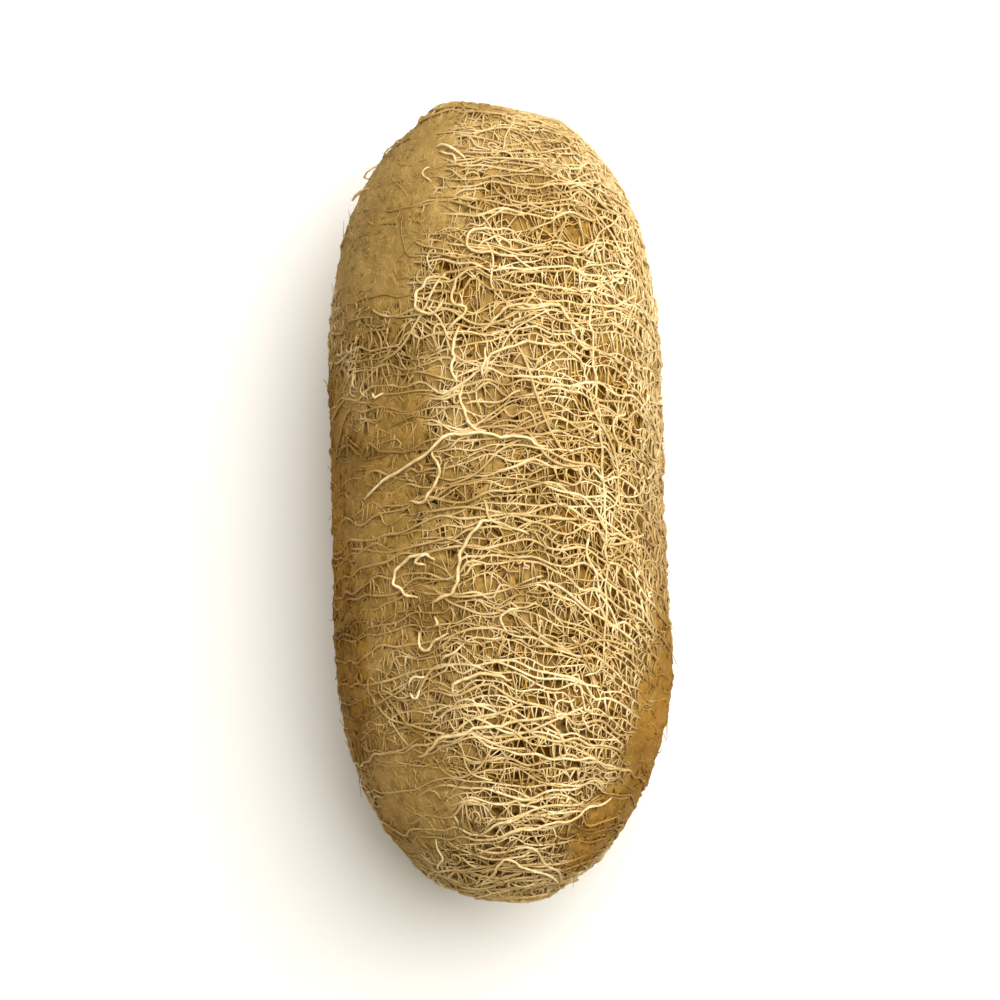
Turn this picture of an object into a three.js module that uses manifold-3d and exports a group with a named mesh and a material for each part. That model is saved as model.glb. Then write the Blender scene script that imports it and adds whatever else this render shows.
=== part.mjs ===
// A natural loofah sponge: the dried fibre skeleton of a luffa fruit, lying on its side.
// Millimetres, +Z up. The sponge runs along Y with its blunt end at +Y, and rests on z = 0.
// It grew as one piece, so it is one solid: a barrel-shaped body whose skin is a raised net.
// Flat-topped strands run round the body in wavy rings, and thin slanting ties join each strand
// to the next one, so that every mesh of the net is a pit with four corners.
import * as THREE from "three";
import { mergeVertices } from "three/addons/utils/BufferGeometryUtils.js";
import Module from "manifold-3d";

const wasm = await Module();
wasm.setup();
const TURN = 2 * Math.PI;

// Driving dimensions of the body
const LENGTH = 152;
const WIDTH = 63.5;
const FLATNESS = 0.94; // height over width of a cross-section
const BLUNT_END = {
  dome: 62, // length over which the end closes
  power: 3,
  root: 1.9,
  dimple: { radius: 9, depth: 3.5 },
  rim: { radius: 14, tilt: 0.25 }, // the rim of the dimple stands higher on its -X side
};
const TAPERED_END = {
  dome: 51,
  power: 2.1,
  root: 2.1,
  dimple: { radius: 7, depth: 2.5 },
  rim: { radius: 12, tilt: -0.08 },
};
const LOBES = [
  { count: 3, swell: 0.011, turn: 0.5, twist: 0.004 },
  { count: 2, swell: 0.008, turn: 1.9, twist: 0.021 },
  { count: 10, swell: 0.006, turn: 0.3, twist: 0 },
];
// Low swellings: their place, how far they reach round and along the body, and their height
const SWELLINGS = [
  { angle: 0.1, s: 113, round: 16, along: 17, height: 1.3 },
  { angle: 2.2, s: 72, round: 22, along: 26, height: 0.7 },
  { angle: 4.1, s: 96, round: 20, along: 24, height: 0.9 },
];
const MERIDIAN_STEPS = 4000;
// The underside is pressed flat where the sponge rests, with no pits in the middle of that spot
const PRESSED = { depth: 1.4, length: 30, width: 12 };

// Driving dimensions of the net
const STRAND_PITCH = 3.5;
const STRAND_WIDTH = 1.1;
const STRAND_SINK = 0.8; // how far below the highest strands the lowest ones lie
const TIE_PITCH = 4.3; // along a strand
const TIE_JITTER = 0.3; // share of the pitch by which either end of a tie is off its place
const FEWEST_TIES = 6;
const PIT_DEPTH = { least: 1.7, most: 2.6 };
const FIRST_STRAND = 5.5; // from each tip, along the surface
// Waves of the strands: whole bands of the net drift together, and each strand also has its own
const DRIFTS = [
  { count: 1, size: 1.2, twist: 0.021 },
  { count: 3, size: 0.8, twist: -0.05 },
];
const DRIFT_FADE = 25; // from the first strand to where the shared drift is at its full size
const OWN_WAVES = { lengths: [31, 13], fewest: 2, least: 0.2, most: 0.5 };
const SEED = 20;

// A seeded draw from 0 to 1
let state = SEED;
function random() {
  state = (state + 0x6d2b79f5) | 0;
  let t = Math.imul(state ^ (state >>> 15), 1 | state);
  t = (t + Math.imul(t ^ (t >>> 7), 61 | t)) ^ t;
  return ((t ^ (t >>> 14)) >>> 0) / 2 ** 32;
}
const between = (low, high) => low + (high - low) * random();

// Body

const endAt = (s) => (s < LENGTH / 2 ? BLUNT_END : TAPERED_END);

// Radius of the barrel at a distance s from its blunt tip
function radiusAt(s) {
  const end = endAt(s);
  const fromTip = Math.min(s, LENGTH - s);
  const inDome = Math.max(0, 1 - fromTip / end.dome);
  return (WIDTH / 2) * (1 - inDome ** end.power) ** (1 / end.root);
}

// The meridian from the blunt tip to the other one, with the length of its arc at each sample
function meridian() {
  const samples = [{ s: 0, r: 0, arc: 0 }];
  for (let i = 1; i <= MERIDIAN_STEPS; i++) {
    const s = (LENGTH * (1 - Math.cos((Math.PI * i) / MERIDIAN_STEPS))) / 2;
    const r = radiusAt(s);
    const last = samples[i - 1];
    samples.push({ s, r, arc: last.arc + Math.hypot(s - last.s, r - last.r) });
  }
  return samples;
}
const MERIDIAN = meridian();
const ARC_TOTAL = MERIDIAN[MERIDIAN_STEPS].arc;

function meridianAt(arc) {
  let low = 0;
  let high = MERIDIAN_STEPS;
  while (high - low > 1) {
    const middle = (low + high) >> 1;
    if (MERIDIAN[middle].arc > arc) high = middle;
    else low = middle;
  }
  const a = MERIDIAN[low];
  const b = MERIDIAN[high];
  const t = (arc - a.arc) / (b.arc - a.arc);
  const step = Math.hypot(b.s - a.s, b.r - a.r);
  return {
    s: a.s + t * (b.s - a.s),
    r: a.r + t * (b.r - a.r),
    outward: (b.s - a.s) / step, // of the surface normal, away from the axis
    forward: (b.r - a.r) / step, // of the surface normal, towards +Y
  };
}

function lobeSwell(angle, s) {
  return LOBES.reduce(
    (sum, lobe) => sum + lobe.swell * Math.cos(lobe.count * angle + lobe.turn + lobe.twist * s),
    1,
  );
}

const bump = (distance, radius) => Math.max(0, 1 - (distance / radius) ** 2);

const angleBetween = (a, b) => a - b - TURN * Math.round((a - b) / TURN);

// How far the low swellings lift the skin
function swellingHeight(angle, s) {
  return SWELLINGS.reduce((sum, swelling) => {
    const round = (angleBetween(angle, swelling.angle) * WIDTH) / 2 / swelling.round;
    const along = (s - swelling.s) / swelling.along;
    return sum + swelling.height * Math.exp(-(round ** 2) - along ** 2);
  }, 0);
}

// A point of the body's skin, pushed in by depth. Angle 0 is +X and a quarter turn is up.
function skinPoint(angle, arc, depth) {
  const { s, r, outward, forward } = meridianAt(arc);
  const { dimple, rim } = endAt(s);
  const lift = swellingHeight(angle, s) - depth;
  const radius = Math.max(0, r * lobeSwell(angle, s) + lift * outward);
  const x = radius * Math.cos(angle);
  const inwards = s < LENGTH / 2 ? -1 : 1;
  const dent = inwards * dimple.depth * bump(r, dimple.radius) ** 2;
  const tilt = inwards * rim.tilt * x * bump(r, rim.radius);
  const y = LENGTH / 2 - s + lift * forward + dent + tilt;
  return new THREE.Vector3(x, y, radius * FLATNESS * Math.sin(angle));
}

// Net

const positions = [];
const triangles = [];
function addVertex(point) {
  positions.push(point.x, point.y, point.z);
  return positions.length / 3 - 1;
}

const STRAND_COUNT = Math.round((ARC_TOTAL - 2 * FIRST_STRAND) / STRAND_PITCH) + 1;
const girthAt = (arc) => TURN * meridianAt(arc).r;

function makeStrand(index) {
  const arc = FIRST_STRAND + ((ARC_TOTAL - 2 * FIRST_STRAND) * index) / (STRAND_COUNT - 1);
  const waves = OWN_WAVES.lengths.map((length) => ({
    count: Math.max(OWN_WAVES.fewest, Math.round(girthAt(arc) / length)),
    size: between(OWN_WAVES.least, OWN_WAVES.most),
    turn: between(0, TURN),
  }));
  return { arc, waves, sink: between(0, STRAND_SINK) };
}

// Where the middle of a strand lies on the meridian, at an angle round the body
function strandArc({ arc, waves }, angle) {
  const fade = Math.min(1, (Math.min(arc, ARC_TOTAL - arc) - FIRST_STRAND) / DRIFT_FADE);
  const drift = DRIFTS.reduce((sum, d) => sum + d.size * Math.sin(d.count * angle + d.twist * arc), 0);
  const own = waves.reduce((sum, w) => sum + w.size * Math.sin(w.count * angle + w.turn), 0);
  return arc + fade * drift + own;
}

// Points on one edge of a strand's flat top, on the side of the blunt tip (-1) or the other (1)
function edgeLine(strand, angles, side) {
  return angles.map((angle) => {
    const arc = strandArc(strand, angle) + (side * STRAND_WIDTH) / 2;
    return { angle, arc, vertex: addVertex(skinPoint(angle, arc, strand.sink)) };
  });
}

// How far the first tie of a row stands from angle 0, as a share of the pitch of its ties
const rowShift = () => between(TIE_JITTER, 1 - TIE_JITTER);

// Angles round the body at which the ties of one row leave a strand, in rising order
function tieAngles(count, shift) {
  const off = () => between(-TIE_JITTER, TIE_JITTER);
  return Array.from({ length: count }, (_, k) => ((k + shift + off()) * TURN) / count);
}

// Pits are shallower than the pressed flat in its middle, where the strands close up
function pitDepth(angle, arc) {
  const { s, r } = meridianAt(arc);
  const across = (r * Math.cos(angle)) / (PRESSED.width / 2);
  const along = (s - LENGTH / 2) / (PRESSED.length / 2);
  const closed = Math.sin(angle) < 0 && Math.hypot(across, along) < 1;
  return closed ? PRESSED.depth / 2 : between(PIT_DEPTH.least, PIT_DEPTH.most);
}

const average = (values) => values.reduce((sum, value) => sum + value, 0) / values.length;

// One row of pits between two strands. Each pit falls from its four corners to one low point.
function addPits(upper, lower) {
  upper.forEach((topLeft, k) => {
    const next = (k + 1) % upper.length;
    const lap = next > k ? 0 : TURN;
    const corners = [topLeft, upper[next], lower[next], lower[k]];
    const angle = average(corners.map((corner) => corner.angle)) + lap / 2;
    const arc = average(corners.map((corner) => corner.arc));
    const bottom = addVertex(skinPoint(angle, arc, pitDepth(angle, arc)));
    corners.forEach((corner, c) => {
      triangles.push(corner.vertex, corners[(c + 1) % corners.length].vertex, bottom);
    });
  });
}

// The flat top of a strand: a strip of triangles between its two edge lines
function addStrandTop(blunt, tapered) {
  const angleAt = (line, k) => line[k % line.length].angle + (k < line.length ? 0 : TURN);
  const vertexAt = (line, k) => line[k % line.length].vertex;
  let i = 0;
  let j = 0;
  while (i < blunt.length || j < tapered.length) {
    const onBlunt =
      j === tapered.length || (i < blunt.length && angleAt(blunt, i + 1) < angleAt(tapered, j + 1));
    const step = onBlunt ? vertexAt(blunt, i + 1) : vertexAt(tapered, j + 1);
    triangles.push(vertexAt(blunt, i), step, vertexAt(tapered, j));
    if (onBlunt) i += 1;
    else j += 1;
  }
}

// An end closes in a fan from the outer edge of its last strand to the bottom of the dimple
function addEnd(line, arc, side) {
  const centre = addVertex(skinPoint(0, arc, PIT_DEPTH.most));
  line.forEach(({ vertex }, k) => {
    const next = line[(k + 1) % line.length].vertex;
    triangles.push(...(side < 0 ? [next, vertex, centre] : [vertex, next, centre]));
  });
}

function addNet() {
  const strands = Array.from({ length: STRAND_COUNT }, (_, i) => makeStrand(i));
  let bluntSide = edgeLine(strands[0], tieAngles(FEWEST_TIES, rowShift()), -1);
  addEnd(bluntSide, 0, -1);
  strands.forEach((strand, i) => {
    const below = strands[i + 1] ?? strand;
    const girth = girthAt((strand.arc + below.arc) / 2);
    const count = Math.max(FEWEST_TIES, Math.round(girth / TIE_PITCH));
    const shift = rowShift();
    const taperedSide = edgeLine(strand, tieAngles(count, shift), 1);
    addStrandTop(bluntSide, taperedSide);
    if (below === strand) {
      addEnd(taperedSide, ARC_TOTAL, 1);
      return;
    }
    bluntSide = edgeLine(below, tieAngles(count, shift), -1);
    addPits(taperedSide, bluntSide);
  });
}

// Solid

const asManifold = (vertices, faces) =>
  new wasm.Manifold(
    new wasm.Mesh({
      numProp: 3,
      vertProperties: new Float32Array(vertices),
      triVerts: new Uint32Array(faces),
    }),
  );

// The underside is cut flat where the sponge rests, and the body is centred over the origin
function restingBody() {
  addNet();
  const whole = asManifold(positions, triangles);
  const floor = whole.boundingBox().min[2] + PRESSED.depth;
  const block = new THREE.BoxGeometry(WIDTH * 2, LENGTH * 2, WIDTH);
  block.translate(0, 0, floor - WIDTH / 2);
  block.deleteAttribute("normal");
  block.deleteAttribute("uv");
  const cutter = mergeVertices(block);
  const cut = whole.subtract(asManifold(cutter.attributes.position.array, cutter.index.array));
  const { min, max } = cut.boundingBox();
  return cut.translate([-(min[0] + max[0]) / 2, -(min[1] + max[1]) / 2, -min[2]]);
}

function asGeometry(solid) {
  const { numProp, vertProperties, triVerts } = solid.getMesh();
  const geometry = new THREE.BufferGeometry();
  const interleaved = new THREE.InterleavedBuffer(vertProperties, numProp);
  geometry.setAttribute("position", new THREE.InterleavedBufferAttribute(interleaved, 3, 0));
  geometry.setIndex(new THREE.BufferAttribute(triVerts, 1));
  geometry.computeVertexNormals();
  return geometry;
}

const straw = new THREE.MeshStandardMaterial({ color: 0xd9bd82, roughness: 0.75, metalness: 0 });
const sponge = new THREE.Mesh(asGeometry(restingBody()), straw);
sponge.name = "loofah_sponge";

export default new THREE.Group().add(sponge);
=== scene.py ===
"""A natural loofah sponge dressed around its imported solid.

The solid gives the barrel and a coarse net. This script replaces it with the fibres themselves,
from the inside out: a bed of film with pits, felt, brown peel and membranes, lengthwise fibres
and an under net that show between the strands, an outer net of rings and ties that part around
lens-shaped openings, long strands and curls that lie over it, fibres that cross the tips, fine
web, and stray hairs. All of them follow one formula for the skin of the sponge, in millimetres,
which is then set on the solid's box.
"""

import math

import bpy
import numpy as np
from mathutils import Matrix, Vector


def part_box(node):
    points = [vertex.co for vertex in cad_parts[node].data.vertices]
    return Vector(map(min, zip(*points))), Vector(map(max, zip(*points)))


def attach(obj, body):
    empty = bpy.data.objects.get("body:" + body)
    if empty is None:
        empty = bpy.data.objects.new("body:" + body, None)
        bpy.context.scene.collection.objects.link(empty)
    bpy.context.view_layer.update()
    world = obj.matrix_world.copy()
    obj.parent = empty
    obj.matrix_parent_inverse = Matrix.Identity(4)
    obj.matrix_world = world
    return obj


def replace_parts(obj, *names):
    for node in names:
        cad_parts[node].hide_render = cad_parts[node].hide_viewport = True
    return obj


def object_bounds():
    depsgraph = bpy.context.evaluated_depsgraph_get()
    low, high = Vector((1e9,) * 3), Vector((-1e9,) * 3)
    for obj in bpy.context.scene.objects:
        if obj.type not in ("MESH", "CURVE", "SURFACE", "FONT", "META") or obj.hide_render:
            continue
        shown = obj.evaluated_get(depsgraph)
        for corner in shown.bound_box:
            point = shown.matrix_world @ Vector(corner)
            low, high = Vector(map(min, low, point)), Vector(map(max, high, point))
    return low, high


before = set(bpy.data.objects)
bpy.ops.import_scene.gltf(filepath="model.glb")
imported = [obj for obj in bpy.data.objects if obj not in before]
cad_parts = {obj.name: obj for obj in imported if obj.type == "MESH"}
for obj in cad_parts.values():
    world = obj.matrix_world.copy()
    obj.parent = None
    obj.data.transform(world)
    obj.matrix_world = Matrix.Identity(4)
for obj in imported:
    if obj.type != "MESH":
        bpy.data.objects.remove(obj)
CAD_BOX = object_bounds()

MM = 0.001
TURN = 2 * math.pi

# The barrel, as in the solid. The dimples press its ends in, so the sponge is a little shorter.
LENGTH = 152
WIDTH = 63.5
FLATNESS = 0.94
BLUNT_END = {
    "dome": 62,
    "power": 3,
    "root": 1.9,
    "dimple_radius": 9,
    "dimple_depth": 3.5,
    "rim_radius": 14,
    "rim_tilt": 0.25,
}
TAPERED_END = {
    "dome": 51,
    "power": 2.1,
    "root": 2.1,
    "dimple_radius": 7,
    "dimple_depth": 2.5,
    "rim_radius": 12,
    "rim_tilt": -0.08,
}

# Lobes round the body, whose swell is a share of the radius, and low swellings
LOBES = [
    {"count": 3, "swell": 0.011, "turn": 0.5, "twist": 0.004},
    {"count": 2, "swell": 0.008, "turn": 1.9, "twist": 0.021},
    {"count": 10, "swell": 0.006, "turn": 0.3, "twist": 0},
]
SWELLINGS = [
    {"angle": 0.1, "s": 113, "round": 16, "along": 17, "height": 1.3},
    {"angle": 2.2, "s": 72, "round": 22, "along": 26, "height": 0.7},
    {"angle": 4.1, "s": 96, "round": 20, "along": 24, "height": 0.9},
]
MERIDIAN_STEPS = 4000

# Patches of felt and peel that close the net. Degrees are counted round the body from +X over the
# top, and s from the blunt tip; across and along are half sizes. The strength is how far a patch
# closes the net, and brown turns its haze of pale felt into brown peel. On the left flank and its
# edge the brown is painted shade: the shade of the flank, and a contact shadow with brown bounce
# light along the edge.
PATCHES = [
    {"degrees": 146, "s": 20, "across": 32, "along": 46, "strength": 1.0, "brown": 0.0},
    # This patch and the next, on the left flank and its edge, are browned as painted shade.
    {"degrees": 166, "s": 86, "across": 58, "along": 78, "strength": 0.78, "brown": 0.42},
    {"degrees": 176, "s": 90, "across": 32, "along": 72, "strength": 0.75, "brown": 1.0},
    {"degrees": 138, "s": 131, "across": 26, "along": 28, "strength": 0.85, "brown": 0.08},
    {"degrees": 4, "s": 118, "across": 25, "along": 38, "strength": 1.0, "brown": 1.0},
    {"degrees": 34, "s": 138, "across": 17, "along": 20, "strength": 0.8, "brown": 0.85},
    {"degrees": 80, "s": 6, "across": 36, "along": 32, "strength": 0.48, "brown": 0.0},
    {"degrees": 6, "s": 84, "across": 17, "along": 40, "strength": 0.45, "brown": 0.35},
    {"degrees": 250, "s": 62, "across": 26, "along": 38, "strength": 0.7, "brown": 0.3},
    {"degrees": 302, "s": 104, "across": 20, "along": 28, "strength": 0.8, "brown": 0.6},
    {"degrees": 218, "s": 127, "across": 18, "along": 20, "strength": 0.65, "brown": 0.2},
    {"degrees": 330, "s": 36, "across": 17, "along": 30, "strength": 0.6, "brown": 0.0},
]

# Where the film under the net lies deeper, so that the net looks open
HOLLOWS = [
    {"degrees": 82, "s": 132, "across": 24, "along": 26, "deep": 1.3},
    {"degrees": 48, "s": 92, "across": 16, "along": 34, "deep": 0.7},
]

# Openings between strands on the upper side: x across, s along, half width and half height. The
# closed ones have a brown membrane, and the others a ladder of ties over the dark inside.
SEEN_OPENINGS = [
    (2.5, 26, 3.4, 1.3, True),
    (9, 26.5, 3.0, 1.6, False),
    (16, 27, 3.2, 2.0, True),
    (-3.5, 38, 2.4, 2.2, True),
    (-1.5, 57, 2.8, 2.0, True),
    (26.5, 62, 2.0, 1.4, True),
    (20.5, 69.5, 1.6, 1.5, True),
    (11.5, 81, 2.6, 1.6, True),
    (20.5, 81, 1.4, 1.8, False),
    (-9, 87.5, 4.2, 1.6, False),
    (15, 90, 2.4, 1.8, True),
    (16.5, 95, 2.2, 1.2, True),
    (-8, 105.5, 2.2, 2.2, False),
    (14.5, 112, 3.8, 2.2, True),
    (11, 116.5, 1.6, 1.1, True),
    (-5.5, 120.5, 2.0, 1.9, True),
    (16, 130, 2.6, 1.8, False),
    (-6.5, 133.5, 2.2, 1.8, True),
    (11.5, 137, 2.4, 1.1, False),
    (1, 139, 2.0, 1.3, False),
]

# The other openings are scattered over the whole body, clear of the tips by a margin. A share of
# them is closed.
OTHER_OPENINGS = {
    "count": 80,
    "margin": 14,
    "wide": (2.0, 4.8),
    "high": (0.9, 1.7),
    "closed": 0.4,
}

# Single fibres that lie over the net on the upper side: radius, height over the skin, and the
# places that each one passes through, x across and s along.
LAID_FIBRES = [
    (0.3, 0.5, [(-9.5, 10.5), (-7, 11), (-4, 13)]),
    (0.26, 0.4, [(-9, 11), (-7, 12.5), (-6, 14)]),
    (0.2, 0.4, [(-11, 14), (-11.5, 16), (-10.5, 17.5)]),
    (0.3, 0.6, [(-7.5, 36), (-10.5, 35.5), (-13, 37.5), (-13, 41), (-10, 41.5), (-8.5, 39.5)]),
    (0.3, 0.6, [(-6, 35.5), (-7, 38), (-6, 40.5), (-4.5, 41.5), (-6.5, 43.5), (-8, 45)]),
    (0.3, 0.5, [(-6, 44.5), (-7, 47), (-6.5, 50), (-7.5, 52), (-6.5, 54.5)]),
    (0.3, 0.5, [(-1, 48.5), (-2, 51.5), (-2, 54)]),
    (0.28, 0.4, [(-5.5, 53.5), (-5.5, 59.5), (-3.5, 63), (-1.5, 63.5)]),
    (0.3, 0.6, [(-24, 75), (-19.5, 71.5), (-13, 68), (-8, 64), (-1.5, 64), (5.5, 65), (9.5, 66.5)]),
    (0.3, 0.8, [(-11, 67), (-10, 69.5), (-10.5, 73.5), (-13, 75.5), (-16, 76)]),
    (0.26, 0.5, [(-22.5, 55.5), (-21, 57), (-20, 56)]),
    (0.3, 0.4, [(4.5, 27.5), (-0.5, 26.5), (-4, 28), (-3, 30.5), (1, 31.5), (6, 31.5)]),
    (0.3, 0.3, [(-2, 46), (0.5, 43), (4, 41), (11, 41), (14.5, 43.5), (17, 46)]),
    (0.3, 0.3, [(-2.5, 53.5), (0, 50), (3.5, 48), (11, 48), (15, 50), (16.5, 52.5)]),
    (0.26, 0.1, [(18.5, 38), (18.5, 46), (19.5, 60.5), (20, 76.5), (20, 88.5), (19, 110)]),
    (0.3, 0.7, [(-11.5, 85), (-14.5, 85.5), (-17.5, 87.5), (-18.5, 90), (-17.5, 92.5), (-14.5, 93)]),
    (0.3, 0.9, [(-11, 86.5), (-12.5, 85), (-14.5, 87), (-12.5, 87.5)]),
    (0.34, 0.7, [(-0.5, 79), (-3, 80), (-5.5, 83.5), (-7, 87), (-7, 90.5), (-9, 93), (-12.5, 94)]),
    (0.26, 0.6, [(-7, 89.5), (-5, 88), (-2.5, 87.5)]),
    (0.3, 0.6, [(-12, 96.5), (-11, 97.5), (-11.5, 98.5)]),
    (0.28, 0.6, [(-14.5, 99.5), (-14, 102.5), (-11, 101), (-9, 100)]),
    (0.3, 0.5, [(-10.5, 105), (-8.5, 103), (-7, 102)]),
    (0.26, 0.5, [(-17, 109.5), (-16, 108), (-13.5, 107.5)]),
    (0.26, 0.5, [(-17.5, 111), (-15.5, 111.5), (-14.5, 109.5)]),
    (0.32, 0.6, [(-8.5, 111), (-8.5, 109), (-5.5, 107.5), (-0.5, 107.5), (2.5, 108.5)]),
    (0.32, 0.5, [(-16, 123), (-13, 120.5), (-9.5, 118.5), (-3.5, 117), (3, 116), (16.5, 114.5)]),
    (0.28, 0.4, [(4, 95), (1, 96), (0.5, 98), (2, 100)]),
    (0.28, 0.3, [(-1.5, 138), (4.5, 136), (11, 135), (16, 133), (20.5, 131)]),
    (0.3, 0.4, [(-6, 148), (-2, 144.5), (0, 141.5), (2.5, 143.5), (6, 144.5), (11, 148.5)]),
    (0.24, 0.4, [(-13, 138), (-12, 142), (-13, 145)]),
    (0.2, 0.9, [(-21.5, 12.5), (-23.5, 14.5), (-25, 14)]),
    (0.2, 0.9, [(-23, 17), (-25.5, 18.5), (-26.5, 17)]),
]


# The skin of the sponge


def of_end(blunt, key):
    """A value of the blunt end where blunt holds, and of the tapered end elsewhere."""
    return np.where(blunt, BLUNT_END[key], TAPERED_END[key])


def meridian():
    """Distance s from the blunt tip, radius and arc length along the meridian, as three arrays."""
    steps = np.arange(MERIDIAN_STEPS + 1) * math.pi / MERIDIAN_STEPS
    s = LENGTH * (1 - np.cos(steps)) / 2
    blunt = s < LENGTH / 2
    in_dome = np.maximum(0, 1 - np.minimum(s, LENGTH - s) / of_end(blunt, "dome"))
    rounding = np.maximum(0, 1 - in_dome ** of_end(blunt, "power")) ** (1 / of_end(blunt, "root"))
    r = WIDTH / 2 * rounding
    arc = np.concatenate([[0], np.cumsum(np.hypot(np.diff(s), np.diff(r)))])
    return s, r, arc


MERIDIAN_S, MERIDIAN_R, MERIDIAN_ARC = meridian()
SLOPE_S = np.gradient(MERIDIAN_S, MERIDIAN_ARC)
SLOPE_R = np.gradient(MERIDIAN_R, MERIDIAN_ARC)
ARC_TOTAL = MERIDIAN_ARC[-1]


def radius_at(arc):
    return np.interp(arc, MERIDIAN_ARC, MERIDIAN_R)


def s_at(arc):
    return np.interp(arc, MERIDIAN_ARC, MERIDIAN_S)


def arc_at(s):
    return np.interp(s, MERIDIAN_S, MERIDIAN_ARC)


def clear_of_tips(arc, gap):
    """Arc lengths kept at least the gap away from both tips."""
    return np.clip(arc, gap, ARC_TOTAL - gap)


def angle_over(x, s):
    """Angle of the place on the upper side that is x across and s along."""
    return np.arccos(np.clip(np.asarray(x) / radius_at(arc_at(s)), -1, 1))


def angle_between(angle, other):
    return np.mod(angle - other + math.pi, TURN) - math.pi


def bump(distance, radius):
    return np.maximum(0, 1 - (distance / radius) ** 2)


def smooth(value):
    """Eases a value from 0 to 1."""
    value = np.clip(value, 0, 1)
    return value * value * (3 - 2 * value)


def rise(value, start, end):
    """Eases from 0 at the start to 1 at the end."""
    return smooth((value - start) / (end - start))


def swelling_height(angle, s):
    """How far the low swellings lift the skin."""
    height = 0.0
    for swelling in SWELLINGS:
        around = angle_between(angle, swelling["angle"]) * WIDTH / 2 / swelling["round"]
        along = (s - swelling["s"]) / swelling["along"]
        height = height + swelling["height"] * np.exp(-(around**2) - along**2)
    return height


def skin(angle, arc, depth):
    """Points of the skin in millimetres, pushed in by depth. Angle 0 is +X, a quarter turn is up."""
    s = s_at(arc)
    r = radius_at(arc)
    outward = np.interp(arc, MERIDIAN_ARC, SLOPE_S)
    forward = np.interp(arc, MERIDIAN_ARC, SLOPE_R)
    swell = 1 + sum(
        lobe["swell"] * np.cos(lobe["count"] * angle + lobe["turn"] + lobe["twist"] * s)
        for lobe in LOBES
    )
    lift = swelling_height(angle, s) - depth
    radius = np.maximum(0, r * swell + lift * outward)
    x = radius * np.cos(angle)
    blunt = s < LENGTH / 2
    inwards = np.where(blunt, -1, 1)
    dent = inwards * of_end(blunt, "dimple_depth") * bump(r, of_end(blunt, "dimple_radius")) ** 2
    tilt = inwards * of_end(blunt, "rim_tilt") * x * bump(r, of_end(blunt, "rim_radius"))
    y = LENGTH / 2 - s + lift * forward + dent + tilt
    return np.stack([x, y, radius * FLATNESS * np.sin(angle)], axis=-1)


def skin_offset():
    """What to add to skin points to set them on the solid: middle on middle, and top on top."""
    angles = np.linspace(0, TURN, 181)
    arcs = np.linspace(0, ARC_TOTAL, 361)
    points = skin(angles[:, None], arcs[None, :], 0.0).reshape(-1, 3)
    low, high = points.min(axis=0), points.max(axis=0)
    box_low, box_high = (np.array(corner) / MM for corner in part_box("loofah_sponge"))
    offset = (box_low + box_high - low - high) / 2
    offset[2] = box_high[2] - high[2]
    return offset


OFFSET = skin_offset()


def unit(vectors):
    return vectors / np.maximum(np.linalg.norm(vectors, axis=-1, keepdims=True), 1e-9)


def placed(angle, arc, depth):
    """Points set on the solid, and the direction out of the skin there."""
    step = 0.5
    points = skin(angle, arc, depth)
    outwards = unit(skin(angle, arc, depth - step) - skin(angle, arc, depth + step))
    return points + OFFSET, outwards


# Noise, patches and openings


class Field:
    """Smooth noise over space, about -1 to 1, as a sum of plane waves in all directions."""

    def __init__(self, seed, wavelength, terms=14):
        rng = np.random.default_rng(seed)
        directions = unit(rng.normal(size=(terms, 3)))
        self.waves = directions * TURN / (wavelength * rng.uniform(0.6, 1.6, (terms, 1)))
        self.turns = rng.uniform(0, TURN, terms)

    def __call__(self, points):
        return np.sin(points @ self.waves.T + self.turns).sum(axis=-1) / math.sqrt(len(self.turns))


EDGE_WAVES = Field(seed=3, wavelength=14)
EDGE_SPECKS = Field(seed=4, wavelength=4)
FILM_WAVES = Field(seed=7, wavelength=11)
BED_BUMPS = Field(seed=8, wavelength=4)
BED_GRAIN = Field(seed=9, wavelength=1.7, terms=30)
BED_PITS = Field(seed=10, wavelength=2.1, terms=24)

# How far waves and specks move the edges of patches and membranes, as shares of their half sizes
PATCH_WAVINESS = 0.12
PATCH_RAGGEDNESS = 0.08
MEMBRANE_RAGGEDNESS = 0.25

# A patch ends at this share of its half sizes, and its edge is this steep
PATCH_END = 1.06
PATCH_STEEPNESS = 1.35


def covering(angle, arc):
    """How far felt or peel closes the net, and how brown it is, both from 0 to 1."""
    points = skin(angle, arc, 0.0)
    ragged = PATCH_WAVINESS * EDGE_WAVES(points) + PATCH_RAGGEDNESS * EDGE_SPECKS(points)
    cover = np.zeros(points.shape[:-1])
    brown = np.zeros(points.shape[:-1])
    for patch in PATCHES:
        around = angle_between(angle, math.radians(patch["degrees"])) * radius_at(arc)
        along = arc - arc_at(patch["s"])
        distance = np.hypot(around / patch["across"], along / patch["along"])
        reach = smooth((PATCH_END - distance + ragged) * PATCH_STEEPNESS)
        cover = np.maximum(cover, patch["strength"] * reach)
        brown = np.maximum(brown, patch["brown"] * reach**2)
    return cover, brown


def hollow_depth(angle, arc):
    """How much deeper the film lies in the hollows."""
    deep = np.zeros_like(arc)
    for hollow in HOLLOWS:
        around = angle_between(angle, math.radians(hollow["degrees"])) * radius_at(arc)
        along = arc - arc_at(hollow["s"])
        distance = (around / hollow["across"]) ** 2 + (along / hollow["along"]) ** 2
        deep = deep + hollow["deep"] * np.exp(-distance)
    return deep


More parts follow.
